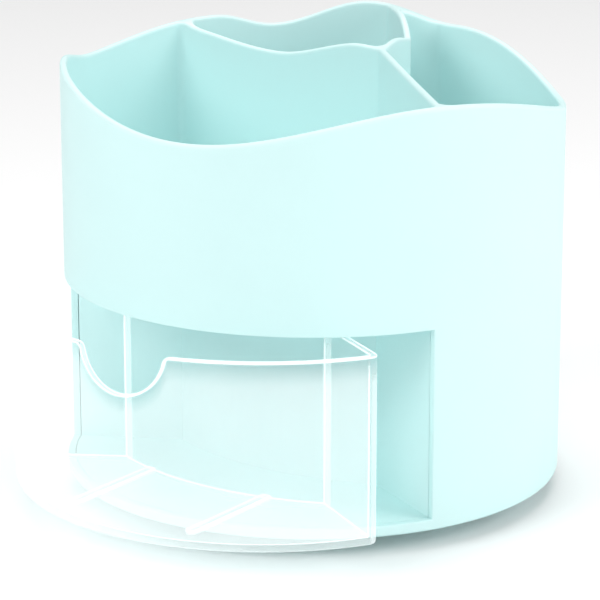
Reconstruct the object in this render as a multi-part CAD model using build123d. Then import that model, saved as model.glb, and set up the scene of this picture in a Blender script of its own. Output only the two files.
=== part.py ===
"""Rotating desk organizer: a round cup with wavy rims over a sector-shaped pull-out drawer.

Millimetres.  +Z is up and the origin is the centre of the foot's underside, on the desk.
The drawer slides out along -Y and is modelled standing part-way out.
An azimuth is measured about +Z from -Y, the drawer's side, towards +X.
"""
from build123d import *
from math import cos, hypot, pi, radians, sin, sqrt
import os

# --- outer form ---------------------------------------------------------------------------
BODY_R = 80.0            # outside radius of the cup
WALL = 2.3               # outer wall
LIFT = 6.0               # air under the cup's bottom edge
SILL = 3.5               # band of wall left under the drawer opening
LIP = 63.4               # top of the drawer opening, above the bottom edge
FLOOR_T = 2.0            # floor between the drawer bay and the compartments
OPENING_HALF = 62.2      # half-angle of the drawer opening

# Rim wave: (azimuth, height above the bottom edge) of each crest, trough and shoulder.
RIM_WAVE = [(6.0, 119.8), (63.5, 131.0), (130.0, 118.6), (178.0, 132.0), (201.0, 137.8),
            (225.5, 129.9), (240.0, 133.7), (282.0, 128.3), (305.0, 132.4)]
RIM_STEP = 5             # degrees between the points that carry the rim curve

# --- dividers of the compartments -----------------------------------------------------------
DIVIDER_T = 2.2
CROSS_Y = 27.0                         # straight wall across the cup, parallel to X
HUB = (8.0, CROSS_Y)                   # where the three inner walls meet
KNEE = (2.4, 50.7)                     # bend of the short wall behind the hub
FRONT_END = (70.4, -35.4)              # front wall's end in the outer wall
BACK_END = (-21.0, 75.2)               # back wall's end in the outer wall
CROSS_END = (-73.4, CROSS_Y)
PANEL_START = (-15.0, 67.6)            # flat panel that closes the back corner
PANEL_END = (-1.9, 78.4)
# Divider rims: (distance from the first end, height above the bottom edge).
CROSS_RIM = [(0.0, 132.2), (40.6, 126.9), (69.7, 132.7), (81.4, 132.3)]
FRONT_RIM = [(0.0, 132.3), (44.0, 131.4), (88.2, 131.0)]
SHORT_RIM = [(0.0, 132.3), (12.2, 133.4), (24.35, 131.6)]
BACK_RIM = [(0.0, 131.6), (4.6, 135.0), (12.2, 137.4), (23.0, 137.6), (33.9, 137.2)]

# --- drawer ---------------------------------------------------------------------------------
DRAWER_OUT = 26.6        # how far out the drawer stands
DRAWER_BASE = 3.7        # underside, above the cup's bottom edge
DRAWER_TOP = 62.2        # top edge, above the cup's bottom edge
DRAWER_T = 2.0
DRAWER_FLOOR_T = 1.6
SIDE_HALF = 59.4         # half-angle of the inner side faces, which point at the cup's axis
BACK_CORNER_R = 45.2     # inner back corners, from the cup's axis
BACK_SAGITTA = 8.4       # how far the back wall bulges towards the front
SCALLOP_R = 14.7         # finger notch in the front wall
SCALLOP_AZ = 3.4
SCALLOP_Z = 63.5         # centre of the notch, above the cup's bottom edge
SCALLOP_EASE = 2.6       # rounding where the notch meets the top edge
RIB_X = 22.6             # two low ribs on the drawer's floor
RIB_W = 3.6
RIB_H = 2.0
RIB_END = 70.4
CORNER_OUTSIDE = 2.4
CORNER_INSIDE = 0.8

# --- base tray with the drawer bay ----------------------------------------------------------
TRAY_R = 77.4
TRAY_T = 2.0
BAY_WALL_T = 1.6
BAY_BACK_GAP = 0.8       # between the closed drawer's back and the bay
BAY_TOP_GAP = 0.2
BOSS_R = 4.0
BOSS_AT = 68.0
BOSS_AZIMUTHS = (84.0, 150.0, 210.0, 276.0)
SCREW_R = 1.5
SCREW_HEAD_R = 3.0
SCREW_HEAD_H = 1.3
CROSS_W = 0.7            # cross recess in the screw heads
CROSS_DEPTH = 0.6
SCREW_GRIP = 10.0        # screw length in the cup's columns
PILOT_PLAY = 0.05
SCREW_PLAY = 0.2

# --- turntable --------------------------------------------------------------------------------
PAD_R = 52.0
PAD_T = 1.2
FOOT_R = 56.0
FOOT_T = 2.0
FOOT_LIP = 2.0
FOOT_LIP_GAP = 0.8
RACE_IN = 36.0
RACE_OUT = 44.0
RACE_T = 1.0
BALL_PATH_R = 40.0
BALL_R = 1.5
BALL_PLAY = 0.05
BALL_COUNT = 20
CAGE_HALF_W = 2.8
CAGE_T = 1.1
HUB_R = 12.0
HUB_BORE_R = 6.05
SPIGOT_R = 6.0
WASHER_R = 8.0
WASHER_T = 0.6
PIVOT_HEAD_R = 2.8
PIVOT_HEAD_H = 1.3
PIVOT_RECESS_R = 9.0
PIVOT_TIP = 13.0
CAP_BOSS_H = 6.0
HUB_RISE = 2.2           # hub above the foot's plate
HUB_WEB = 2.0            # hub left above the screw's recess
WASHER_GAP = 0.05        # the turntable's up-and-down play

# --- levels worked out from the sizes above -----------------------------------------------------
INNER_R = BODY_R - WALL
SILL_Z = LIFT + SILL
LIP_Z = LIFT + LIP
CUP_FLOOR_Z = LIP_Z + FLOOR_T
TRAY_Z = SILL_Z - TRAY_T
RIM_TOP = LIFT + max(height for _, height in RIM_WAVE)
FOOT_TOP = PAD_T + FOOT_T
UPPER_RACE_Z = TRAY_Z - RACE_T
BALL_Z = (FOOT_TOP + RACE_T + UPPER_RACE_Z) / 2
HUB_TOP = FOOT_TOP + HUB_RISE
WASHER_TOP = HUB_TOP - HUB_WEB - WASHER_GAP
WASHER_Z = WASHER_TOP - WASHER_T
HALF_CHORD = BACK_CORNER_R * sin(radians(SIDE_HALF))
BACK_R = (HALF_CHORD ** 2 + BACK_SAGITTA ** 2) / (2 * BACK_SAGITTA)
BACK_CENTRE_Y = -(BACK_CORNER_R * cos(radians(SIDE_HALF)) + BACK_SAGITTA) + BACK_R


def point(radius, azimuth):
    """A point at a radius and an azimuth."""
    a = radians(azimuth)
    return radius * sin(a), -radius * cos(a)


def disc(radius, low, high, at=(0.0, 0.0)):
    """An upright cylinder between two levels."""
    return Pos(at[0], at[1], low) * extrude(Circle(radius), high - low)


def ring(inside, outside, low, high):
    """An upright ring between two levels."""
    return disc(outside, low, high) - disc(inside, low - 1, high + 1)


def prism(outline, low, high):
    """An upright prism over a plan outline."""
    return Pos(0, 0, low) * extrude(Polygon(*outline, align=None), high - low)


def sector(half_angle, low, high, reach=120.0):
    """A wedge about -Y with its point on the cup's axis."""
    corners = [(0.0, 0.0)]
    corners += [point(reach, half_angle * side) for side in (-1.0, -0.5, 0.0, 0.5, 1.0)]
    return prism(corners, low, high)


def rim_height(azimuth):
    """Height of the outer rim above the bottom edge: half a cosine from each turn to the next."""
    turns = RIM_WAVE + [(RIM_WAVE[0][0] + 360.0, RIM_WAVE[0][1])]
    angle = (azimuth - turns[0][0]) % 360.0 + turns[0][0]
    for (a0, h0), (a1, h1) in zip(turns, turns[1:]):
        if angle <= a1:
            return h0 + (h1 - h0) * (1 - cos(pi * (angle - a0) / (a1 - a0))) / 2


def above_rim():
    """Everything over the wavy rim, as a ring-shaped solid with a ruled underside."""
    def wave(radius):
        turns = range(0, 360, RIM_STEP)
        return Spline(*[(*point(radius, a), LIFT + rim_height(a)) for a in turns], periodic=True)
    underside = Face.make_surface_from_curves(wave(BODY_R - 20), wave(BODY_R + 10))
    return extrude(underside, 40, dir=(0, 0, 1))


def divider(start, end, rim):
    """A straight upright wall between two plan points, with a curved top edge."""
    run = hypot(end[0] - start[0], end[1] - start[1])
    along = Vector((end[0] - start[0]) / run, (end[1] - start[1]) / run, 0)
    plane = Plane(origin=(start[0], start[1], 0), x_dir=along, z_dir=along.cross(Vector(0, 0, 1)))
    heights = [(s, LIFT + h) for s, h in rim]
    floor = CUP_FLOOR_Z - FLOOR_T / 2
    top = Spline(*heights)
    sides = Polyline(heights[-1], (run, floor), (0, floor), heights[0])
    return extrude(plane * make_face([top, sides]), DIVIDER_T / 2, both=True)


def housing():
    """The cup: outer wall with the drawer opening, floor, dividers and screw columns."""
    cup = ring(INNER_R, BODY_R, LIFT, RIM_TOP + 1)
    cup += disc(INNER_R + WALL / 2, LIP_Z, CUP_FLOOR_Z)
    corner = prism([PANEL_START, PANEL_END, point(INNER_R + 1, 181.0), point(INNER_R + 1, 188.0),
                    point(INNER_R + 1, 195.0), (-20.5, 74.0)], CUP_FLOOR_Z - 1, RIM_TOP + 1)
    cup += corner
    cup -= above_rim()
    cup -= sector(OPENING_HALF, SILL_Z, LIP_Z) - disc(INNER_R - 10, 0, LIP_Z + 1)
    walls = [divider(HUB, CROSS_END, [(CROSS_RIM[-1][0] - s, h) for s, h in reversed(CROSS_RIM)]),
             divider(HUB, FRONT_END, FRONT_RIM),
             divider(HUB, KNEE, SHORT_RIM),
             divider(KNEE, BACK_END, BACK_RIM)]
    for wall in walls:
        cup += wall
    for joint, height in ((HUB, CROSS_RIM[-1][1]), (KNEE, SHORT_RIM[-1][1])):
        cup += disc(DIVIDER_T / 2, CUP_FLOOR_Z - 1, LIFT + height, joint)
    for azimuth in BOSS_AZIMUTHS:
        at = point(BOSS_AT, azimuth)
        cup += disc(BOSS_R, SILL_Z, LIP_Z + 1, at)
        cup -= disc(SCREW_R + PILOT_PLAY, SILL_Z - 1, SILL_Z + SCREW_GRIP + 2, at)
    return cup


def back_arc_y(x, offset):
    """Y of the drawer's back wall at x, moved back from its inner face; the drawer is shut."""
    return BACK_CENTRE_Y - sqrt((BACK_R - offset) ** 2 - x * x)


def wedge(half_angle, side_gap, back_gap, low, high, radius):
    """A sector with a bowed back, its sides and back moved outwards by the two gaps."""
    half = radians(half_angle)
    push = side_gap / sin(half)
    reach = 2 * BODY_R
    corners = [(0.0, push), (-reach * sin(half), push - reach * cos(half)),
               (reach * sin(half), push - reach * cos(half))]
    plan = disc(radius, low, high) & prism(corners, low, high)
    return plan - Pos(0, BACK_CENTRE_Y, 0) * disc(BACK_R - back_gap, low - 1, high + 1)


def corner_edges(solid, end):
    """The upright edges at the front (0) or at the back (-1) of a wedge."""
    return solid.edges().filter_by(Axis.Z).group_by(Axis.Y)[end]


def notch_cutter():
    """The finger notch: a round bottom whose sides ease out into the drawer's top edge."""
    centre_z = LIFT + SCALLOP_Z
    drop = SCALLOP_Z - DRAWER_TOP
    half_mouth = sqrt(SCALLOP_R ** 2 - drop ** 2)
    mouth = Rectangle(2 * half_mouth + 2 * SCALLOP_EASE, SCALLOP_R, align=(Align.CENTER, Align.MIN))
    outline = Circle(SCALLOP_R) + Pos(0, -drop) * mouth
    shoulders = [v for v in outline.vertices()
                 if abs(v.Y + drop) < 0.01 and abs(abs(v.X) - half_mouth) < 0.01]
    outline = fillet(shoulders, SCALLOP_EASE)
    outward = Vector(*point(1.0, SCALLOP_AZ), 0)
    wall = Plane(origin=outward * (BODY_R - 20) + Vector(0, 0, centre_z),
                 x_dir=Vector(0, 0, 1).cross(outward), z_dir=outward)
    return extrude(wall * outline, 40)


def drawer():
    """One clear moulding: curved front with a finger notch, side walls, bowed back and floor."""
    base = LIFT + DRAWER_BASE
    top = LIFT + DRAWER_TOP
    outside = wedge(SIDE_HALF, DRAWER_T, DRAWER_T, base, top, BODY_R)
    for end in (0, -1):
        outside = fillet(corner_edges(outside, end), CORNER_OUTSIDE)
    inside = wedge(SIDE_HALF, 0.0, 0.0, base + DRAWER_FLOOR_T, top + 1, BODY_R - DRAWER_T)
    inside = fillet(inside.edges().filter_by(Axis.Z), CORNER_INSIDE)
    tray = outside - inside - notch_cutter()
    for x in (-RIB_X, RIB_X):
        y_back = back_arc_y(x, DRAWER_T / 2)
        y_front = -RIB_END + RIB_W / 2
        rib = Pos(x, (y_back + y_front) / 2) * Rectangle(RIB_W, y_back - y_front)
        rib += Pos(x, y_front) * Circle(RIB_W / 2)
        tray += Pos(0, 0, base + DRAWER_FLOOR_T / 2) * extrude(rib, DRAWER_FLOOR_T / 2 + RIB_H)
    return Pos(0, -DRAWER_OUT, 0) * tray


def base_tray():
    """Bottom plate with the drawer bay's walls and the turntable's spigot."""
    tray = disc(TRAY_R, TRAY_Z, SILL_Z)
    top = LIP_Z - BAY_TOP_GAP
    bay_gap = DRAWER_T + BAY_BACK_GAP
    tray += wedge(OPENING_HALF, BAY_WALL_T, bay_gap + BAY_WALL_T, SILL_Z, top, TRAY_R)
    tray -= wedge(OPENING_HALF, 0.0, bay_gap, SILL_Z, top + 1, BODY_R)
    tray += disc(SPIGOT_R, WASHER_TOP, SILL_Z + CAP_BOSS_H)
    tray -= disc(SCREW_R + PILOT_PLAY, 0, PIVOT_TIP + 1)
    for azimuth in BOSS_AZIMUTHS:
        tray -= disc(SCREW_R + SCREW_PLAY, 0, SILL_Z + 1, point(BOSS_AT, azimuth))
    return tray


def group(pieces):
    """Like pieces that share a node, kept as separate solids."""
    return Compound(children=pieces)


def screw(at, head_low, head_high, head_radius, tip):
    """A pan-head screw pointing up, with a cross recess in its head."""
    body = disc(head_radius, head_low, head_high, at) + disc(SCREW_R, head_low, tip, at)
    bar = Box(head_radius * 1.1, CROSS_W, CROSS_DEPTH * 2)
    recess = bar + Rot(0, 0, 90) * bar
    return body - Pos(at[0], at[1], head_low) * recess


def foot_disc():
    """The part that stays still on the desk: plate, lip round the bearing and hub."""
    foot = disc(FOOT_R, PAD_T, FOOT_TOP)
    foot += ring(FOOT_R - FOOT_LIP, FOOT_R, FOOT_TOP, TRAY_Z - FOOT_LIP_GAP)
    foot += disc(HUB_R, FOOT_TOP, HUB_TOP)
    foot -= disc(PIVOT_RECESS_R, 0, HUB_TOP - HUB_WEB)
    foot -= disc(HUB_BORE_R, 0, HUB_TOP + 1)
    return foot


def groove(z):
    """The track that the balls run in."""
    return Pos(0, 0, z) * Torus(BALL_PATH_R, BALL_R + BALL_PLAY)


def race(low):
    """A ring with a ball track in the side that faces the balls."""
    return ring(RACE_IN, RACE_OUT, low, low + RACE_T) - groove(BALL_Z)


def ball_places():
    """Centres of the bearing balls."""
    return [point(BALL_PATH_R, 360.0 / BALL_COUNT * i) for i in range(BALL_COUNT)]


def ball_cage():
    """The ring that keeps the balls apart."""
    low = BALL_Z - CAGE_T / 2
    cage = ring(BALL_PATH_R - CAGE_HALF_W, BALL_PATH_R + CAGE_HALF_W, low, low + CAGE_T)
    for at in ball_places():
        cage -= disc(BALL_R + BALL_PLAY, low - 1, low + CAGE_T + 1, at)
    return cage


parts = {
    "anti_slip_pad": disc(PAD_R, 0, PAD_T),
    "foot_disc": foot_disc(),
    "lower_race": race(FOOT_TOP),
    "ball_cage": ball_cage(),
    "bearing_balls": group([Pos(x, y, BALL_Z) * Sphere(BALL_R) for x, y in ball_places()]),
    "upper_race": race(UPPER_RACE_Z),
    "pivot_washer": ring(SCREW_R + SCREW_PLAY, WASHER_R, WASHER_Z, WASHER_TOP),
    "pivot_screw": screw((0.0, 0.0), WASHER_Z - PIVOT_HEAD_H, WASHER_Z, PIVOT_HEAD_R, PIVOT_TIP),
    "base_tray": base_tray(),
    "tray_screws": group([screw(point(BOSS_AT, a), TRAY_Z - SCREW_HEAD_H, TRAY_Z, SCREW_HEAD_R,
                                SILL_Z + SCREW_GRIP) for a in BOSS_AZIMUTHS]),
    "housing": housing(),
    "drawer": drawer(),
}

os.makedirs("parts", exist_ok=True)
for name, shape in parts.items():
    export_step(shape, f"parts/{name}.step")
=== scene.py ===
"""Desk organizer: a mint cup that turns on a foot, with a clear drawer that slides out.

Laid out as an add-on: one operator makes each piece, or group of like pieces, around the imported
frame.  Lengths are metres in the row frame: +Z is up and the drawer slides out along -Y.
An azimuth is measured about +Z from -Y towards +X.
"""

from math import asin, atan2, ceil, cos, pi, radians, sin, sqrt

import bmesh
import bpy
from bpy.props import FloatProperty, FloatVectorProperty, IntProperty, PointerProperty
from mathutils import Matrix, Vector
from mathutils.geometry import delaunay_2d_cdt


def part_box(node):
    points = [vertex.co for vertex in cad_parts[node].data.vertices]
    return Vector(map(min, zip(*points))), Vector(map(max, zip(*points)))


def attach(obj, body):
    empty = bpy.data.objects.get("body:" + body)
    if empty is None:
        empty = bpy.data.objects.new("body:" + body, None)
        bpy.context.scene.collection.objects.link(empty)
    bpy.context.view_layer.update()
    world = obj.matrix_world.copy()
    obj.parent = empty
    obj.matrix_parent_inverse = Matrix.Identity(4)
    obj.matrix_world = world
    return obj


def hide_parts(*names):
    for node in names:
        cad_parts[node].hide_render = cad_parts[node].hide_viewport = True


bl_info = {
    "name": "Rotating desk organizer",
    "version": (1, 0, 0),
    "blender": (4, 5, 0),
    "location": "View3D > Sidebar > Organizer",
    "description": "Builds a round desk organizer with a clear drawer around its packed frame",
    "category": "Object",
}

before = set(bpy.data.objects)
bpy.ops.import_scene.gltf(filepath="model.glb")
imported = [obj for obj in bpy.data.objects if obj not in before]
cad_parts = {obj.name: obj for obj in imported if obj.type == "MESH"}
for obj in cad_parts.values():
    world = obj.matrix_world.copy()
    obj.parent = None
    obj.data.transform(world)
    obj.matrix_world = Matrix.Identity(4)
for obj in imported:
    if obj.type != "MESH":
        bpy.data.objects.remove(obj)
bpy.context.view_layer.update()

# --- places read from the frame -----------------------------------------------------------------
CUP_LOW, CUP_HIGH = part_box("housing")
DRAWER_LOW, DRAWER_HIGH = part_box("drawer")
BODY_R = (CUP_HIGH.x - CUP_LOW.x) / 2          # outside radius of the cup
LIFT = CUP_LOW.z                               # air under the cup's bottom edge
DRAWER_OUT = -DRAWER_LOW.y - BODY_R            # from the front of the drawer in the frame

# --- the cup ------------------------------------------------------------------------------------
WALL = 0.0023            # outer wall
DIVIDER = 0.0022         # inner walls
SILL_Z = LIFT + 0.0035   # top of the band under the drawer opening
LIP_Z = LIFT + 0.0634    # top of the drawer opening
CUP_FLOOR_Z = LIP_Z + 0.002
OPENING_HALF = radians(62.2)

# Rim wave: (azimuth in degrees, height above the bottom edge) of each crest, trough and shoulder.
RIM_WAVE = [(6.0, 0.1198), (63.5, 0.1310), (130.0, 0.1186), (178.0, 0.1320), (201.0, 0.1378),
            (225.5, 0.1299), (240.0, 0.1337), (282.0, 0.1283), (305.0, 0.1324)]

HUB = Vector((0.008, 0.027))                   # where the three inner walls meet
KNEE = Vector((0.0024, 0.0507))                # bend of the short wall behind the hub
FRONT_END = Vector((0.0704, -0.0354))          # the inner walls' ends in the outer wall
BACK_END = Vector((-0.021, 0.0752))
CROSS_END = Vector((-0.0734, 0.027))
PANEL_START = Vector((-0.015, 0.0676))         # flat panel that closes the back corner
PANEL_END = Vector((-0.0019, 0.0784))
# Inner walls: start, end and the rim's (distance from the start, height above the bottom edge).
INNER_WALLS = {
    "cross": (CROSS_END, HUB,
              [(0.0, 0.1322), (0.0406, 0.1269), (0.0697, 0.1327), (0.0814, 0.1323)]),
    "front": (HUB, FRONT_END, [(0.0, 0.1323), (0.0440, 0.1314), (0.0882, 0.1310)]),
    "short": (HUB, KNEE, [(0.0, 0.1323), (0.0122, 0.1334), (0.02435, 0.1316)]),
    "back": (KNEE, BACK_END, [(0.0, 0.1316), (0.0046, 0.1350), (0.0122, 0.1374),
                              (0.0230, 0.1376), (0.0339, 0.1372)]),
    "panel": (PANEL_START, PANEL_END, [(0.0, 0.1374), (0.0085, 0.1350), (0.0170, 0.1323)]),
}
BLEND_IN = 0.072         # from here outwards an inner wall's rim turns into the outer wave
BLEND_OUT = BODY_R - WALL
COLUMN_R = 0.004         # screw columns under the cup's floor
COLUMN_BORE_R = 0.00155
COLUMN_BORE_H = 0.012
COLUMN_AT = 0.068
COLUMN_AZIMUTHS = (84.0, 150.0, 210.0, 276.0)
COLUMN_BEVEL = 0.0003
COLUMN_ROOT = 0.0008     # how far a column runs into the cup's floor
SEAM_BAND = 0.0006       # narrow strip of mesh next to a rounded rim

# --- the drawer ---------------------------------------------------------------------------------
DRAWER_T = 0.002
DRAWER_FLOOR_T = 0.0016
SIDE_HALF = radians(59.4)                      # half-angle of the inner side faces
BACK_CORNER_R = 0.0452                         # inner back corners, from the cup's axis
BACK_SAGITTA = 0.0084                          # how far the back wall bulges towards the front
HALF_CHORD = BACK_CORNER_R * sin(SIDE_HALF)
BACK_R = (HALF_CHORD ** 2 + BACK_SAGITTA ** 2) / (2 * BACK_SAGITTA)
BACK_CENTRE = Vector((0.0, BACK_R - BACK_SAGITTA - BACK_CORNER_R * cos(SIDE_HALF)))
NOTCH_R = 0.0147
NOTCH_AZIMUTH = radians(3.4)
NOTCH_RISE = 0.0013      # the notch's centre, above the drawer's top edge
NOTCH_EASE = 0.0026
RIB_X = 0.0226
RIB_W = 0.0036
RIB_H = 0.002
RIB_FRONT_Y = -0.0704    # front end of the ribs when the drawer is shut
RIB_ROOT = 0.0004        # rounding at a rib's foot
RIB_CROWN = 0.00035      # rounding along a rib's top
RIB_CLEAR = 0.0003       # left between a rib's foot and the back wall's fillet
OUTLINE_STEP = 0.003     # longest side of the mesh along the drawer's plan

# Painted highlights on the clear plastic: how brightly each edge is painted, next to 1 along a rim.
RIM_LIGHTS = [1.0, 0.8, 0.45, 0.3, 0.3]        # from a rim's side to the middle of its top
FRONT_SHEEN = 0.22
CORNER_SHEEN = 0.45
INNER_CORNER_SHEEN = 0.9
BOTTOM_LIGHT = 0.35
FLOOR_EDGE_LIGHT = 0.9
RIB_LIGHT = 0.1
RIB_EDGE_LIGHT = 0.95
EDGE_HOLD = 0.0003       # how far the bright line at an edge reaches into the face


# --- lamps --------------------------------------------------------------------------------------
# Each lamp: right of the cup, nearer than it, height, side length and power in watts.
LAMPS = {
    "key": (0.95, 0.35, 0.50, 0.6, 5.2),
    "fill": (-0.80, 0.60, 0.80, 0.6, 5.8),
    "front": (0.10, 1.10, 1.00, 0.6, 2.5),
    "top": (0.0, -0.6, 2.2, 2.0, 30.0),
}


# --- plan outlines ------------------------------------------------------------------------------
def polar(radius, azimuth):
    """A plan point at a radius and an azimuth in radians."""
    return Vector((radius * sin(azimuth), -radius * cos(azimuth)))


class Straight:
    """A straight side of an outline, with the inside on its left."""

    def __init__(self, start, end, shift=0.0):
        self.along = (end - start).normalized()
        self.left = Vector((-self.along.y, self.along.x))
        self.start = start + self.left * shift

    def gap(self, p):
        """How far a point is inside this side."""
        return (p - self.start).dot(self.left)

    def inward(self, p):
        """The direction away from this side at a point."""
        return self.left

    def between(self, p, q, step):
        """Points along the side from p to q, both ends left out."""
        count = max(1, ceil((q - p).length / step))
        return [p.lerp(q, i / count) for i in range(1, count)]


class Round:
    """A circular side; turn is 1 with the inside in the circle and -1 with it around the circle."""

    def __init__(self, centre, radius, turn=1):
        self.centre = centre
        self.radius = radius
        self.turn = turn

    def gap(self, p):
        """How far a point is inside this side."""
        return self.turn * (self.radius - (p - self.centre).length)

    def inward(self, p):
        """The direction away from this side at a point."""
        return (self.centre - p).normalized() * self.turn

    def between(self, p, q, step):
        """Points along the side from p to q, both ends left out."""
        a = atan2(p.y - self.centre.y, p.x - self.centre.x)
        sweep = atan2(q.y - self.centre.y, q.x - self.centre.x) - a
        sweep = sweep % (2 * pi) if self.turn > 0 else -(-sweep % (2 * pi))
        count = max(1, ceil(abs(sweep) * self.radius / step))
        turns = [a + sweep * i / count for i in range(1, count)]
        return [self.centre + Vector((cos(t), sin(t))) * self.radius for t in turns]


def corner_centre(first, second, guess, radius):
    """The point that lies one radius inside two sides; a negative radius rounds an outer corner."""
    p = guess.copy()
    for _ in range(25):
        miss = first.gap(p) - radius, second.gap(p) - radius
        n, m = first.inward(p), second.inward(p)
        spread = n.x * m.y - n.y * m.x
        p -= Vector(((miss[0] * m.y - miss[1] * n.y) / spread,
                     (n.x * miss[1] - m.x * miss[0]) / spread))
    return p


def outline(sides, corners, step, turn_step=radians(11)):
    """A closed outline as (point, inward direction) pairs.

    corners[i] is the (rough place, radius) of the corner between sides[i] and the next side.
    """
    arcs = []
    for i, (guess, radius) in enumerate(corners):
        first, second = sides[i], sides[(i + 1) % len(sides)]
        centre = corner_centre(first, second, guess, radius)
        n, m = first.inward(centre), second.inward(centre)
        a = atan2(n.y, n.x)
        sweep = (atan2(m.y, m.x) - a + pi) % (2 * pi) - pi
        count = max(2, ceil(abs(sweep) / turn_step))
        arc = []
        for k in range(count + 1):
            inward = Vector((cos(a + sweep * k / count), sin(a + sweep * k / count)))
            arc.append((centre - inward * radius, inward))
        arcs.append(arc)
    loop = []
    for i, side in enumerate(sides):
        start, end = arcs[i - 1][-1][0], arcs[i][0][0]
        loop += [(p, side.inward(p)) for p in side.between(start, end, step)]
        loop += arcs[i]
    return loop


def quarter_round(radius, steps):
    """A quarter circle as two distances: the first falls from radius to 0, the second rises."""
    turns = [pi / 2 * k / steps for k in range(steps + 1)]
    return [(radius * (1 - sin(t)), radius * (1 - cos(t))) for t in turns]


# --- mesh building ------------------------------------------------------------------------------
class Shell:
    """Collects points and faces; points that coincide become one."""

    def __init__(self):
        self.points = []
        self.edge_light = []
        self.faces = []

    def row(self, points, light=0.0):
        """Adds a row of points and returns their numbers; light is a painted highlight on the row,
        0 to 1, kept as the edge_light attribute.
        """
        first = len(self.points)
        self.points += [tuple(p) for p in points]
        self.edge_light += light if isinstance(light, list) else [light] * len(points)
        return list(range(first, len(self.points)))

    def bridge(self, rows, closed=True):
        """Quads between successive rows of equal length."""
        for low, high in zip(rows, rows[1:]):
            count = len(low)
            for i in range(count if closed else count - 1):
                j = (i + 1) % count
                self.faces.append((low[i], low[j], high[j], high[i]))

    def fill(self, outer, holes=()):
        """Flat or gently waved triangles between an outer row and the holes in it."""
        rows = [outer, *holes]
        numbers = [n for row in rows for n in row]
        plan = [Vector(self.points[n][:2]) * 1000 for n in numbers]
        loops, first = [], 0
        for row in rows:
            loops.append(list(range(first, first + len(row))))
            first += len(row)
        points, _, faces, origin, _, source = delaunay_2d_cdt(plan, [], loops, 1, 1e-5)
        if any(len(o) == 0 for o in origin):
            raise RuntimeError("an outline crosses itself")
        for face, inside in zip(faces, source):
            if inside == [0]:
                self.faces.append(tuple(numbers[origin[i][0]] for i in face))

    def lathe(self, profile, centre, segments):
        """A closed solid turned from (radius, height) points; it starts and ends on the axis."""
        turns = [2 * pi * i / segments for i in range(segments)]
        rows = []
        for radius, height in profile[1:-1]:
            rows.append(self.row([(centre[0] + radius * cos(t), centre[1] + radius * sin(t),
                                   height) for t in turns]))
        self.bridge(rows)
        for row, (_, height) in ((rows[0], profile[0]), (rows[-1], profile[-1])):
            tip = self.row([(centre[0], centre[1], height)])[0]
            for i, n in enumerate(row):
                self.faces.append((n, row[(i + 1) % segments], tip))

    def to_object(self, name, smooth=38.0):
        """One closed, outward-facing mesh object in metres."""
        mesh = bpy.data.meshes.new(name)
        mesh.from_pydata(self.points, [], self.faces)
        light = mesh.attributes.new("edge_light", "FLOAT", "POINT")
        light.data.foreach_set("value", self.edge_light)
        work = bmesh.new()
        work.from_mesh(mesh)
        bmesh.ops.remove_doubles(work, verts=work.verts, dist=2e-6)
        bmesh.ops.dissolve_degenerate(work, dist=1e-7, edges=work.edges)
        bmesh.ops.recalc_face_normals(work, faces=work.faces)
        loose = [e for e in work.edges if not e.is_manifold]
        if loose:
            at = loose[0].verts[0].co
            raise RuntimeError(f"{name} is open at {len(loose)} edges, one of them at {at}")
        work.to_mesh(mesh)
        work.free()
        mesh.shade_smooth()
        mesh.set_sharp_from_angle(angle=radians(smooth))
        piece = bpy.data.objects.new(name, mesh)
        bpy.context.scene.collection.objects.link(piece)
        return piece


# --- rims of the cup ----------------------------------------------------------------------------
def wave_height(azimuth):
    """Height of the outer rim above the bottom edge: half a cosine from each turn to the next."""
    turns = RIM_WAVE + [(RIM_WAVE[0][0] + 360.0, RIM_WAVE[0][1])]
    angle = (azimuth * 180 / pi - turns[0][0]) % 360.0 + turns[0][0]
    for (a0, h0), (a1, h1) in zip(turns, turns[1:]):
        if angle <= a1:
            return h0 + (h1 - h0) * (1 - cos(pi * (angle - a0) / (a1 - a0))) / 2


def knot_height(knots, s):
    """A smooth curve through a wall's rim knots."""
    s = min(max(s, knots[0][0]), knots[-1][0])
    i = next(i for i in range(len(knots) - 1) if s <= knots[i + 1][0])
    slopes = []
    for k in (i, i + 1):
        before, after = knots[max(k - 1, 0)], knots[min(k + 1, len(knots) - 1)]
        slopes.append((after[1] - before[1]) / (after[0] - before[0]))
    (s0, h0), (s1, h1) = knots[i], knots[i + 1]
    run = s1 - s0
    t = (s - s0) / run
    return (h0 * (2 * t ** 3 - 3 * t ** 2 + 1) + h1 * (3 * t ** 2 - 2 * t ** 3)
            + run * (slopes[0] * (t ** 3 - 2 * t ** 2 + t) + slopes[1] * (t ** 3 - t ** 2)))


def rim_z(p):
    """Height of the rim over a plan point: an inner wall's own curve, or the wave further out."""
    outer = wave_height(atan2(p.x, -p.y))
    nearest, inner = 1.0, outer
    for start, end, knots in INNER_WALLS.values():
        run = end - start
        s = min(max((p - start).dot(run) / run.length, 0.0), run.length)
        away = (p - start - run.normalized() * s).length
        if away < nearest:
            nearest, inner = away, knot_height(knots, s)
    t = min(max((p.length - BLEND_IN) / (BLEND_OUT - BLEND_IN), 0.0), 1.0)
    t = t * t * (3 - 2 * t)
    return min(LIFT + inner + (outer - inner) * t, CUP_HIGH.z)


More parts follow.
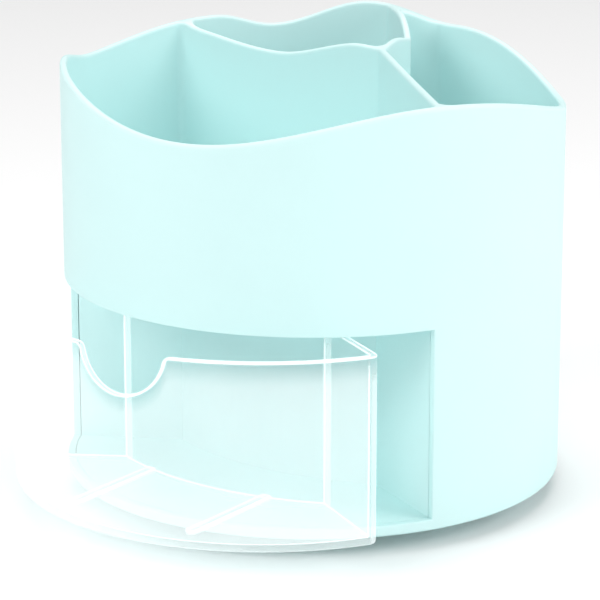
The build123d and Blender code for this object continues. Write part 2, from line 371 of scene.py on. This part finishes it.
def compartments(corner, step):
    """Plan outlines of the three compartments at their walls' faces."""
    bowl = Round(Vector((0.0, 0.0)), BODY_R - WALL)
    half = DIVIDER / 2

    def face(name, forward):
        start, end, _ = INNER_WALLS[name]
        return Straight(start, end, half) if forward else Straight(end, start, half)

    front = outline([face("cross", False), bowl, face("front", False)],
                    [(CROSS_END, corner), (FRONT_END, corner), (HUB, corner)], step)
    right = outline([face("front", True), bowl, Straight(PANEL_END, PANEL_START),
                     face("back", False), face("short", False)],
                    [(FRONT_END, corner), (PANEL_END, corner), (PANEL_START, corner),
                     (KNEE, -2 * corner), (HUB, corner)], step)
    back = outline([face("short", True), face("back", True), bowl, face("cross", True)],
                   [(KNEE, 2 * corner), (BACK_END, corner), (CROSS_END, corner),
                    (HUB, corner)], step)
    return front, right, back


# --- shader helpers -----------------------------------------------------------------------------
class Signal:
    """A socket's number; arithmetic on it adds Math nodes."""

    def __init__(self, paint, socket):
        self.paint = paint
        self.socket = socket

    def math(self, operation, first, second):
        """A Math node on two numbers or signals."""
        return self.paint.node("ShaderNodeMath", {"operation": operation}, {0: first, 1: second})

    def __add__(self, other):
        return self.math("ADD", self, other)

    def __sub__(self, other):
        return self.math("SUBTRACT", self, other)

    def __mul__(self, other):
        return self.math("MULTIPLY", self, other)

    def __truediv__(self, other):
        return self.math("DIVIDE", self, other)

    def __pow__(self, other):
        return self.math("POWER", self, other)

    def __rsub__(self, other):
        return self.math("SUBTRACT", other, self)

    def __rtruediv__(self, other):
        return self.math("DIVIDE", other, self)

    __radd__ = __add__
    __rmul__ = __mul__


class Paint:
    """One material and the nodes in it."""

    def __init__(self, name):
        self.material = bpy.data.materials.new(name)
        self.material.use_nodes = True
        self.tree = self.material.node_tree
        self.tree.nodes.clear()

    def node(self, kind, settings=None, sockets=None, out=0):
        """Adds a node: settings first, then its sockets' values or links; returns one output."""
        made = self.tree.nodes.new(kind)
        for name, value in (settings or {}).items():
            setattr(made, name, value)
        for key, value in (sockets or {}).items():
            socket = made.inputs[key] if isinstance(key, int) else self.find(made.inputs, key)
            if isinstance(value, Signal):
                self.tree.links.new(value.socket, socket)
            else:
                socket.default_value = value
        return Signal(self, made.outputs[out] if isinstance(out, int)
                      else self.find(made.outputs, out))

    @staticmethod
    def find(sockets, key):
        """A socket by its identifier or, failing that, by its name."""
        named = [s for s in sockets if s.identifier == key] or [s for s in sockets if s.name == key]
        return named[0]

    def mix(self, factor, first, second):
        """A colour between two colours."""
        return self.node("ShaderNodeMix", {"data_type": "RGBA"},
                         {"Factor_Float": factor, "A_Color": first, "B_Color": second},
                         out="Result_Color")

    def noise(self, scale, detail=2.0, rough=0.5):
        """Noise fixed to the object, about 0 to 1."""
        where = self.node("ShaderNodeTexCoord", out="Object")
        return self.node("ShaderNodeTexNoise", sockets={"Vector": where, "Scale": scale,
                                                        "Detail": detail, "Roughness": rough},
                         out="Fac")

    def bump(self, height, distance, strength=1.0):
        """A bumped normal; distance is in metres."""
        return self.node("ShaderNodeBump", sockets={"Height": height, "Distance": distance,
                                                    "Strength": strength}, out="Normal")

    def shade(self, **sockets):
        """The Principled shader on the material's output."""
        names = {name.replace("_", " ").title().replace("Ior", "IOR"): value
                 for name, value in sockets.items()}
        surface = self.node("ShaderNodeBsdfPrincipled", sockets=names, out="BSDF")
        self.node_output(surface)
        return self.material

    def node_output(self, surface):
        """Puts a shader on the material's output."""
        made = self.tree.nodes.new("ShaderNodeOutputMaterial")
        self.tree.links.new(surface.socket, made.inputs["Surface"])


def opaque(colour):
    """A colour with its alpha."""
    return (*colour, 1.0)


def moulded(name, colour, pale, sheen):
    """Satin injection-moulded plastic: faint clouding, fine mould grain, and a painted highlight:
    paler colour where the edge_light attribute marks the rims.
    """
    paint = Paint(name)
    cloud = paint.noise(28.0, 3.0)
    grain = paint.noise(2600.0, 2.0, 0.6)
    flow = paint.noise(160.0, 2.0)
    edge = paint.node("ShaderNodeAttribute", {"attribute_name": "edge_light"}, out="Fac")
    deeper = [c * 0.965 for c in colour]
    body = paint.mix(cloud, opaque(deeper), opaque(colour))
    # Painted highlight: the colour turns paler where edge_light marks the rims.
    tint = paint.mix(edge * 0.25, body, opaque(pale))
    rough = sheen - 0.05 + cloud * 0.05 + grain * 0.06
    relief = grain * 0.7 + flow * 0.3
    return paint.shade(base_color=tint, roughness=rough, normal=paint.bump(relief, 0.00002))


# --- properties ---------------------------------------------------------------------------------
class CupShape(bpy.types.PropertyGroup):
    """Sizes of the cup's moulded details."""

    rim_round: FloatProperty(name="Rim rounding", description="Radius of the rims' edges",
                             default=0.00095, min=0.0002, max=0.00105, unit="LENGTH")
    corner: FloatProperty(name="Corner radius", description="Upright corners in the compartments",
                          default=0.003, min=0.002, max=0.006, unit="LENGTH")
    floor_fillet: FloatProperty(name="Floor fillet", description="Rounding at the floors' edges",
                                default=0.0018, min=0.0004, max=0.002, unit="LENGTH")
    foot_round: FloatProperty(name="Bottom edge rounding", description="Radius of the bottom edge",
                              default=0.0007, min=0.0002, max=0.001, unit="LENGTH")
    opening_round: FloatProperty(name="Opening rounding", description="Edge of the drawer opening",
                                 default=0.0005, min=0.0001, max=0.001, unit="LENGTH")
    columns: IntProperty(name="Columns",
                         description="Divisions of the outer wall beside the opening",
                         default=156, min=48, max=400)


class DrawerShape(bpy.types.PropertyGroup):
    """Sizes of the drawer's moulded details."""

    rim_round: FloatProperty(name="Rim rounding", description="Radius of the drawer's top edges",
                             default=0.0006, min=0.0002, max=0.00095, unit="LENGTH")
    corner: FloatProperty(name="Corner radius", description="Outside upright corners",
                          default=0.0030, min=0.0028, max=0.006, unit="LENGTH")
    floor_fillet: FloatProperty(name="Floor fillet", description="Inside rounding at the floor",
                                default=0.0006, min=0.0002, max=0.0008, unit="LENGTH")
    bottom_round: FloatProperty(name="Bottom rounding", description="Outside rounding underneath",
                                default=0.0008, min=0.0002, max=0.0015, unit="LENGTH")


class Finishes(bpy.types.PropertyGroup):
    """Colours, the painted rim highlight colour and sheens of the plastics."""

    mint: FloatVectorProperty(name="Mint", description="Colour of the cup's plastic",
                              default=(0.655, 0.905, 0.90), size=3, min=0, max=1,
                              subtype="COLOR")
    # Painted highlight colour, mixed into the mint along the rims where edge_light is set.
    mint_highlight: FloatVectorProperty(name="Mint at edges", description="Paler colour at thin edges",
                                   default=(0.80, 0.97, 0.965), size=3, min=0, max=1,
                                   subtype="COLOR")
    sheen: FloatProperty(name="Roughness", description="Roughness of the cup's plastic",
                         default=0.42, min=0.0, max=1.0, subtype="FACTOR")


class StageSettings(bpy.types.PropertyGroup):
    """Camera, light and floor."""

    azimuth: FloatProperty(name="Azimuth", description="Camera's place around the cup",
                           default=radians(35.25), subtype="ANGLE")
    distance: FloatProperty(name="Distance", description="Camera from the cup's axis, in plan",
                            default=0.880, min=0.2, max=5.0, unit="LENGTH")
    height: FloatProperty(name="Height", description="Camera above the floor",
                          default=0.3036, min=0.0, max=3.0, unit="LENGTH")
    pitch: FloatProperty(name="Pitch", description="How far the camera looks down",
                         default=0.2712, subtype="ANGLE")
    yaw: FloatProperty(name="Yaw", description="How far the camera looks right of the axis",
                       default=-0.0048, subtype="ANGLE")
    lens: FloatProperty(name="Lens", description="Focal length in millimetres",
                        default=169.3, min=20.0, max=400.0)
    world_light: FloatProperty(name="World light", description="Strength of the surroundings",
                               default=0.34, min=0.0, max=5.0)


# --- operators ----------------------------------------------------------------------------------
class ORGANIZER_OT_cup(bpy.types.Operator):
    """Builds the cup: wavy outer wall, compartments, drawer opening and screw columns"""

    bl_idname = "organizer.cup"
    bl_label = "Build cup"

    def execute(self, context):
        shape = context.scene.organizer_cup
        self.rim = quarter_round(shape.rim_round, 5)
        self.shell = Shell()
        cells = [self.compartment(cell, shape)
                 for cell in compartments(shape.corner, 0.0025)]
        crown = self.outer_wall(shape)
        self.shell.fill(crown, cells)
        for azimuth in COLUMN_AZIMUTHS:
            self.column(polar(COLUMN_AT, radians(azimuth)))
        cup = self.shell.to_object("cup")
        look = context.scene.organizer_finishes
        cup.data.materials.append(moulded("mint_shell", look.mint, look.mint_highlight, look.sheen))
        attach(cup, "cup")
        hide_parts("housing")
        return {"FINISHED"}

    def compartment(self, cell, shape):
        """Walls, floor fillet and floor of a compartment; returns the row at its rim."""
        tops = [rim_z(p) for p, _ in cell]

        def loop(inset, heights, light=0.0):
            return self.shell.row([(*(p + n * inset), z) for (p, n), z in zip(cell, heights)],
                                  light)
        # The rim rounding gets edge_light 1: a painted highlight along the compartments' rims.
        rows = [loop(-outset, [z - drop for z in tops], 1.0) for outset, drop in self.rim]
        start = [z - shape.rim_round - SEAM_BAND for z in tops]
        end = CUP_FLOOR_Z + shape.floor_fillet
        count = 10
        for k in range(count + 1):
            rows.append(loop(0.0, [z + (end - z) * k / count for z in start]))
        for rise, inset in quarter_round(shape.floor_fillet, 5)[1:]:
            rows.append(loop(inset, [CUP_FLOOR_Z + rise] * len(cell)))
        self.shell.bridge(rows)
        self.shell.fill(rows[-1])
        return rows[0]

    def outer_wall(self, shape):
        """Outer and inner faces of the round wall with the drawer opening, and the underside."""
        grow = shape.opening_round
        inside = BODY_R - WALL
        beside = shape.columns
        across = round(beside * OPENING_HALF / (pi - OPENING_HALF))
        turns = [-OPENING_HALF + 2 * OPENING_HALF * i / across for i in range(across)]
        turns += [OPENING_HALF + 2 * (pi - OPENING_HALF) * i / beside for i in range(beside)]
        jamb_rows = 24

        def moved(turn, g):
            """An azimuth moved away from the opening by g."""
            extra = g / BODY_R
            if turn <= OPENING_HALF:
                return turn * (OPENING_HALF + extra) / OPENING_HALF
            return pi + (turn - pi) * (pi - OPENING_HALF - extra) / (pi - OPENING_HALF)

        def ring(radius, heights, g=0.0, light=0.0):
            """A full turn of points; heights is one level or one for each column."""
            if not isinstance(heights, list):
                heights = [heights] * len(turns)
            return self.shell.row([(*polar(radius, moved(t, g)), z)
                                   for t, z in zip(turns, heights)], light)

        tops = [rim_z(polar(BODY_R, moved(t, grow))) for t in turns]
        # The rim rounding gets edge_light 1: a painted highlight along the outer rim.
        upper = [ring(BODY_R - inset, [z - drop for z in tops], grow, 1.0)
                 for inset, drop in self.rim]
        start = [z - shape.rim_round - SEAM_BAND for z in tops]
        end = LIP_Z + grow
        count = 14
        for k in range(count + 1):
            upper.append(ring(BODY_R, [z + (end - z) * k / count for z in start], grow))
        self.shell.bridge(upper)

        def beside_opening(radius, g):
            """Rows beside the opening, from its top level to its sill."""
            rows = [ring(radius, z, g) for z in opening_levels(g)]
            self.shell.bridge([row[across:] + row[:1] for row in rows], closed=False)
            return rows[0], rows[-1]

        def opening_levels(g):
            """Levels from the opening's top edge to its sill, grown by g."""
            low, high = SILL_Z - g, LIP_Z + g
            return [high + (low - high) * k / jamb_rows for k in range(jamb_rows + 1)]

        def opening_edge(radius, g):
            """The opening's edge, once round."""
            levels = opening_levels(g)
            span = turns[:across + 1]
            places = [(t, levels[0]) for t in span]
            places += [(span[-1], z) for z in levels[1:-1]]
            places += [(t, levels[-1]) for t in reversed(span)]
            places += [(span[0], z) for z in levels[-2:0:-1]]
            return self.shell.row([(*polar(radius, moved(t, g)), z) for t, z in places])

        _, outer_sill = beside_opening(BODY_R, grow)
        inner_lip, inner_sill = beside_opening(inside, 0.0)
        edge = [opening_edge(BODY_R - depth, g) for g, depth in quarter_round(grow, 4)]
        edge.append(opening_edge(inside, 0.0))
        self.shell.bridge(edge)

        foot = shape.foot_round
        bottom = quarter_round(foot, 4)
        lower = [outer_sill, ring(BODY_R, LIFT + foot + SEAM_BAND, grow)]
        lower += [ring(BODY_R - inset, LIFT + rise, grow) for rise, inset in bottom]
        lower += [ring(inside + inset, LIFT + rise) for rise, inset in reversed(bottom)]
        lower.append(inner_sill)
        self.shell.bridge(lower)

        centre = self.shell.row([(0.0, 0.0, LIP_Z)])[0]
        under = [inner_lip] + [ring(inside * share, LIP_Z) for share in (0.8, 0.55, 0.3, 0.1)]
        self.shell.bridge(under)
        last = under[-1]
        for i, n in enumerate(last):
            self.shell.faces.append((n, last[(i + 1) % len(last)], centre))
        return upper[0]

    def column(self, at):
        """A screw column with its pilot hole, rooted in the cup's floor."""
        low, root = SILL_Z, LIP_Z + COLUMN_ROOT
        self.shell.lathe([(0.0, low + COLUMN_BORE_H), (COLUMN_BORE_R, low + COLUMN_BORE_H),
                          (COLUMN_BORE_R, low + COLUMN_BEVEL), (COLUMN_BORE_R + COLUMN_BEVEL, low),
                          (COLUMN_R - COLUMN_BEVEL, low), (COLUMN_R, low + COLUMN_BEVEL),
                          (COLUMN_R, root), (0.0, root)], at, 32)


class ORGANIZER_OT_drawer(bpy.types.Operator):
    """Builds the clear drawer: bowed back, finger notch, rounded rims and two floor ribs"""

    bl_idname = "organizer.drawer"
    bl_label = "Build drawer"

    def execute(self, context):
        shape = context.scene.organizer_drawer
        self.shell = Shell()
        self.low, self.top = DRAWER_LOW.z, DRAWER_HIGH.z
        self.floor = self.low + DRAWER_FLOOR_T
        self.columns = self.plan(shape)
        self.walls(shape)
        drawer = self.shell.to_object("clear_drawer")
        drawer.data.materials.append(clear_plastic("clear_drawer"))
        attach(drawer, "drawer")
        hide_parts("drawer")
        return {"FINISHED"}

    def plan(self, shape):
        """Columns of the wall as functions of (growth from the rim, depth): (x, y, drop)."""
        reach = 2 * BODY_R
        push = Vector((0.0, DRAWER_T / sin(SIDE_HALF)))
        front = Round(Vector((0.0, 0.0)), BODY_R)
        back = Round(BACK_CENTRE, BACK_R - DRAWER_T, -1)
        corner = shape.corner
        back_r = BACK_CORNER_R - DRAWER_T
        right = Straight(polar(reach, SIDE_HALF) + push, push)
        left = Straight(push, polar(reach, -SIDE_HALF) + push)
        sides = [front, right, back, left]
        loop = outline(sides,
                       [(polar(BODY_R - corner, SIDE_HALF), corner),
                        (polar(back_r + corner, SIDE_HALF), corner),
                        (polar(back_r + corner, -SIDE_HALF), corner),
                        (polar(BODY_R - corner, -SIDE_HALF), corner)], OUTLINE_STEP)
        mouth = sqrt((NOTCH_R + NOTCH_EASE) ** 2 - (NOTCH_RISE + NOTCH_EASE) ** 2)
        span = asin(mouth / BODY_R)
        columns = []
        self.sheens = []
        notch = [self.notch_column(*c) for c in self.notch_curve(mouth)]
        for p, n in loop:
            turn = atan2(p.x, -p.y)
            if abs(p.length - BODY_R) < 1e-6 and abs(turn - NOTCH_AZIMUTH) < span + 0.01:
                columns += notch
                self.sheens += [(FRONT_SHEEN, FRONT_SHEEN)] * len(notch)
                notch = []
            else:
                columns.append(self.plain_column(p, n))
                self.sheens.append(self.sheen(p, sides))
        return columns

    def sheen(self, p, sides):
        """How brightly a column is painted outside and inside, a painted highlight: corners most,
        then the front wall.
        """
        if sides[0].gap(p) < 1e-6:
            return FRONT_SHEEN, FRONT_SHEEN
        bent = min(side.gap(p) for side in sides) > 2e-5
        return (CORNER_SHEEN, INNER_CORNER_SHEEN) if bent else (0.0, 0.0)

    def plain_column(self, p, n):
        """A column under the level top edge."""
        def place(growth, depth):
            q = p + n * depth
            return q.x, q.y, growth
        return place

    def notch_column(self, across, drop, side, down):
        """A column under the notch's curve; (side, down) points into the wall from the edge."""
        def place(growth, depth):
            turn = NOTCH_AZIMUTH + asin((across + growth * side) / BODY_R)
            q = polar(BODY_R - depth, turn)
            return q.x, q.y, drop + growth * down
        return place

    def notch_curve(self, mouth):
        """The notch's edge from left to right: across, drop and the direction into the wall."""
        tilt = asin(mouth / (NOTCH_R + NOTCH_EASE))
        curve = []
        ease_steps, round_steps = 7, 26
        for k in range(ease_steps):
            t = tilt * k / ease_steps
            curve.append((-mouth + NOTCH_EASE * sin(t), NOTCH_EASE * (1 - cos(t)),
                          -sin(t), cos(t)))
        for k in range(round_steps + 1):
            t = -tilt + 2 * tilt * k / round_steps
            curve.append((NOTCH_R * sin(t), NOTCH_R * cos(t) - NOTCH_RISE, sin(t), cos(t)))
        curve += [(-a, d, -s, v) for a, d, s, v in curve[:ease_steps][::-1]]
        return curve

    def ring(self, growth, depth, light=0.0):
        """A row that follows the rim, grown down from it and set in from the outside."""
        points = []
        for column in self.columns:
            x, y, drop = column(growth, depth)
            points.append((x, y - DRAWER_OUT, self.top - drop))
        return self.shell.row(points, light)

    def face(self, z_to, depth):
        """Rows down a face, from just under its rim to a level."""
        start = self.ring(self.hold, depth)
        count = 8
        return [start] + [self.level(start, k / count, z_to, depth) for k in range(1, count + 1)]

    def level(self, base, share, z_to, depth, light=0.0):
        """A row a share of the way from a row under the rim down to a level."""
        points = []
        for n, column in zip(base, self.columns):
            x, y, _ = column(self.hold, depth)
            z = self.shell.points[n][2]
            points.append((x, y - DRAWER_OUT, z + (z_to - z) * share))
        face = 0 if depth < DRAWER_T / 2 else 1
        # Each point gets its column's painted highlight for this face, or the row's own painted
        # light if brighter.
        return self.shell.row(points, [max(light, sheen[face]) for sheen in self.sheens])

    def walls(self, shape):
        """Outside, rims, inside, floor and underside."""
        self.hold = shape.rim_round + EDGE_HOLD
        quarter = quarter_round(shape.rim_round, 4)
        # The rim rows carry RIM_LIGHTS in edge_light: painted highlight lines along the drawer's
        # rims.
        outer = [self.ring(g, d, light) for (g, d), light in zip(quarter, RIM_LIGHTS)]
        inner = [self.ring(g, DRAWER_T - d, light) for (g, d), light in zip(quarter, RIM_LIGHTS)]
        self.shell.bridge([*outer, *inner[::-1]])
        bottom = shape.bottom_round
        outside = [outer[0]] + self.face(self.low + bottom, 0.0)
        for rise, inset in quarter_round(bottom, 3)[1:]:
            # A painted bright line along the bottom rounding.
            outside.append(self.level(outside[1], 1.0, self.low + rise, inset, BOTTOM_LIGHT))
        self.shell.bridge(outside)
        self.shell.fill(outside[-1])
        fillet = shape.floor_fillet
        inside = [inner[0]] + self.face(self.floor + fillet, DRAWER_T)
        for rise, inset in quarter_round(fillet, 3)[1:]:
            # A painted bright line along the inside floor fillet.
            light = FLOOR_EDGE_LIGHT if 0 < rise < fillet else 0.0
            inside.append(self.level(inside[1], 1.0, self.floor + rise, DRAWER_T + inset, light))
        self.shell.bridge(inside)
        ribs = [self.rib(x, fillet) for x in (-RIB_X, RIB_X)]
        self.shell.fill(inside[-1], ribs)

    def rib(self, x, fillet):
        """A low rounded rib on the floor; returns the row at its foot."""
        half = RIB_W / 2
        reach = (BACK_R + fillet) ** 2 - (abs(x) - half) ** 2
        far = BACK_CENTRE.y - sqrt(reach) - RIB_ROOT - RIB_CLEAR
        corners = [Vector((x - half, RIB_FRONT_Y)), Vector((x + half, RIB_FRONT_Y)),
                   Vector((x + half, far)), Vector((x - half, far))]
        sides = [Straight(corners[i], corners[(i + 1) % 4]) for i in range(4)]
        nose = half * 0.97
        heel = 2.5 * RIB_ROOT
        plan = outline(sides, [(corners[1], nose), (corners[2], heel),
                               (corners[3], heel), (corners[0], nose)], OUTLINE_STEP)

        def loop(inset, z, light=RIB_LIGHT):
            return self.shell.row([(p.x + n.x * inset, p.y + n.y * inset - DRAWER_OUT, z)
                                   for p, n in plan], light)
        top = self.floor + RIB_H
        foot = reversed(quarter_round(RIB_ROOT, 3))
        rows = [loop(-outset, self.floor + rise) for rise, outset in foot]
        # A painted bright line along each rib's crown.
        rows += [loop(inset, top - drop, RIB_EDGE_LIGHT)
                 for drop, inset in quarter_round(RIB_CROWN, 3)]
        rows.append(loop(2 * RIB_CROWN, top))
        self.shell.bridge(rows)
        self.shell.fill(rows[-1])
        return rows[0]


def clear_plastic(name):
    """Clear styrene: see-through faces with a faint haze, painted highlight lines along the edges,
    and a faint painted glow from a white emission.
    """
    paint = Paint(name)
    haze = paint.noise(45.0, 3.0)
    ripple = paint.noise(90.0, 1.0)
    edge = paint.node("ShaderNodeAttribute", {"attribute_name": "edge_light"}, out="Fac")
    grazing = paint.node("ShaderNodeLayerWeight", sockets={"Blend": 0.35}, out="Facing")
    # Where edge_light is set the plastic turns opaque and white: painted highlight lines; the haze
    # is the plastic's own, the grazing term a reflection.
    veil = 0.015 + haze * 0.02 + edge * 0.75 + grazing ** 4.0 * 0.12
    # The white emission makes the plastic glow though it is no lamp: painted light on every face
    # and edge it covers.
    shine = paint.node("ShaderNodeBsdfPrincipled",
                       sockets={"Base Color": opaque((0.93, 0.985, 0.985)), "IOR": 1.59,
                                "Emission Color": opaque((1.0, 1.0, 1.0)),
                                "Emission Strength": 0.35,
                                "Roughness": 0.06 + haze * 0.06,
                                "Normal": paint.bump(ripple, 0.00002)}, out="BSDF")
    clear = paint.node("ShaderNodeBsdfTransparent",
                       sockets={"Color": opaque((0.985, 1.0, 1.0))}, out="BSDF")
    veil = paint.node("ShaderNodeClamp", sockets={"Value": veil, "Min": 0.0, "Max": 0.92})
    paint.node_output(paint.node("ShaderNodeMixShader", sockets={0: veil, 1: clear, 2: shine}))
    return paint.material


class ORGANIZER_OT_carried(bpy.types.Operator):
    """Finishes the CAD pieces that are shown as they are"""

    bl_idname = "organizer.carried"
    bl_label = "Finish turntable and tray"

    def execute(self, context):
        look = context.scene.organizer_finishes
        finishes = {
            "base_tray": moulded("mint_inner", look.mint, look.mint_highlight, look.sheen),
            "foot_disc": moulded("foot_plastic", (0.62, 0.80, 0.79), look.mint_highlight, 0.5),
            "anti_slip_pad": rubber("pad_rubber"),
            "ball_cage": moulded("cage_plastic", (0.80, 0.80, 0.76), (0.9, 0.9, 0.9), 0.5),
        }
        steel = metal("race_steel", (0.60, 0.60, 0.59), 0.28)
        bright = metal("ball_steel", (0.72, 0.72, 0.72), 0.12)
        zinc = metal("screw_steel", (0.64, 0.65, 0.66), 0.34)
        finishes.update(lower_race=steel, upper_race=steel, bearing_balls=bright,
                        pivot_washer=zinc, pivot_screw=zinc, tray_screws=zinc)
        for node, material in finishes.items():
            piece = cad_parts[node]
            piece.data.materials.clear()
            piece.data.materials.append(material)
            piece.data.shade_smooth()
            self.ease_edges(piece)
        return {"FINISHED"}

    def ease_edges(self, piece):
        """Rounds the sharp edges slightly, as moulding and tumbling do."""
        weld = piece.modifiers.new("weld", "WELD")
        weld.merge_threshold = 1e-6
        if piece.name == "bearing_balls":
            return
        bevel = piece.modifiers.new("eased edges", "BEVEL")
        bevel.width = 0.0002
        bevel.segments = 2
        bevel.limit_method = "ANGLE"
        bevel.angle_limit = radians(40)
        bevel.harden_normals = True


def rubber(name):
    """Soft dark rubber with a fine stipple."""
    paint = Paint(name)
    stipple = paint.noise(1500.0, 3.0)
    dust = paint.noise(60.0, 4.0)
    colour = paint.mix(dust, opaque((0.05, 0.055, 0.055)), opaque((0.085, 0.09, 0.09)))
    return paint.shade(base_color=colour, roughness=0.75 + stipple * 0.15,
                       normal=paint.bump(stipple, 0.00006))


def metal(name, colour, sheen):
    """Stamped or turned steel with fine scratches."""
    paint = Paint(name)
    where = paint.node("ShaderNodeTexCoord", out="Object")
    stretched = paint.node("ShaderNodeMapping",
                           sockets={"Vector": where, "Scale": (900.0, 900.0, 6000.0)})
    scratch = paint.node("ShaderNodeTexNoise",
                         sockets={"Vector": stretched, "Scale": 1.0, "Detail": 4.0}, out="Fac")
    stain = paint.noise(90.0, 3.0)
    tint = paint.mix(stain, opaque([c * 0.88 for c in colour]), opaque(colour))
    return paint.shade(base_color=tint, metallic=1.0, roughness=sheen + scratch * 0.12,
                       normal=paint.bump(scratch, 0.000008))


class ORGANIZER_OT_stage(bpy.types.Operator):
    """Sets up the floor, the soft light and the camera"""

    bl_idname = "organizer.stage"
    bl_label = "Set stage"

    def execute(self, context):
        settings = context.scene.organizer_stage
        self.floor()
        self.world(context.scene, settings)
        away = polar(1.0, settings.azimuth)
        self.toward_camera = Vector((away.x, away.y, 0.0))
        self.to_right = Vector((-away.y, away.x, 0.0))
        for name, lamp in LAMPS.items():
            self.lamp(name, *lamp)
        self.camera(context.scene, settings)
        return {"FINISHED"}

    def floor(self):
        """A wide pale disc."""
        shell = Shell()
        edge, under = 4.0, -0.01
        shell.lathe([(0.0, 0.0), (0.5, 0.0), (edge, 0.0), (edge, under), (0.0, under)],
                    (0.0, 0.0), 96)
        floor = shell.to_object("floor")
        paint = Paint("floor_paint")
        cloud = paint.noise(3.0, 2.0)
        tint = paint.mix(cloud, opaque((0.96, 0.96, 0.96)), opaque((0.98, 0.98, 0.98)))
        floor.data.materials.append(paint.shade(base_color=tint, roughness=0.6))

    def world(self, scene, settings):
        """Even white surroundings."""
        world = bpy.data.worlds.new("studio")
        world.use_nodes = True
        back = world.node_tree.nodes["Background"]
        back.inputs["Color"].default_value = (1.0, 1.0, 1.0, 1.0)
        back.inputs["Strength"].default_value = settings.world_light
        scene.world = world
        scene.view_settings.view_transform = "Standard"

    def lamp(self, name, right, near, height, size, power):
        """A soft square lamp that faces the cup."""
        data = bpy.data.lights.new(name, "AREA")
        data.size = size
        data.energy = power
        lamp = bpy.data.objects.new(name, data)
        place = self.to_right * right + self.toward_camera * near + Vector((0, 0, height))
        target = Vector((0, 0, CUP_HIGH.z / 2))
        lamp.matrix_world = (Matrix.Translation(place)
                             @ (target - place).to_track_quat("-Z", "Y").to_matrix().to_4x4())
        bpy.context.scene.collection.objects.link(lamp)

    def camera(self, scene, settings):
        """The camera, level, looking a little down at the cup."""
        data = bpy.data.cameras.new("camera")
        data.sensor_width = 36.0
        data.lens = settings.lens
        camera = bpy.data.objects.new("camera", data)
        place = self.toward_camera * settings.distance + Vector((0, 0, settings.height))
        ahead = -self.toward_camera * cos(settings.yaw) + self.to_right * sin(settings.yaw)
        look = ahead * cos(settings.pitch) - Vector((0, 0, sin(settings.pitch)))
        camera.matrix_world = (Matrix.Translation(place)
                               @ look.to_track_quat("-Z", "Y").to_matrix().to_4x4())
        scene.collection.objects.link(camera)
        scene.camera = camera


class ORGANIZER_PT_panel(bpy.types.Panel):
    """Sizes, finishes and build steps of the desk organizer"""

    bl_idname = "ORGANIZER_PT_panel"
    bl_label = "Desk organizer"
    bl_space_type = "VIEW_3D"
    bl_region_type = "UI"
    bl_category = "Organizer"

    def draw(self, context):
        for name, group in GROUPS.items():
            box = self.layout.box()
            settings = getattr(context.scene, name)
            for key in group.__annotations__:
                box.prop(settings, key)
        for operator in OPERATORS:
            self.layout.operator(operator.bl_idname)


GROUPS = {
    "organizer_cup": CupShape,
    "organizer_drawer": DrawerShape,
    "organizer_finishes": Finishes,
    "organizer_stage": StageSettings,
}
OPERATORS = (ORGANIZER_OT_cup, ORGANIZER_OT_drawer, ORGANIZER_OT_carried, ORGANIZER_OT_stage)
CLASSES = (*GROUPS.values(), *OPERATORS, ORGANIZER_PT_panel)


def register():
    """Adds the settings, the operators and the panel to Blender."""
    for item in CLASSES:
        bpy.utils.register_class(item)
    for name, group in GROUPS.items():
        setattr(bpy.types.Scene, name, PointerProperty(type=group))


def unregister():
    """Takes them out again."""
    for name in GROUPS:
        delattr(bpy.types.Scene, name)
    for item in reversed(CLASSES):
        bpy.utils.unregister_class(item)


def main():
    """Builds every piece and the stage."""
    register()
    bpy.ops.organizer.cup()
    bpy.ops.organizer.drawer()
    bpy.ops.organizer.carried()
    bpy.ops.organizer.stage()


if __name__ == "__main__":
    main()
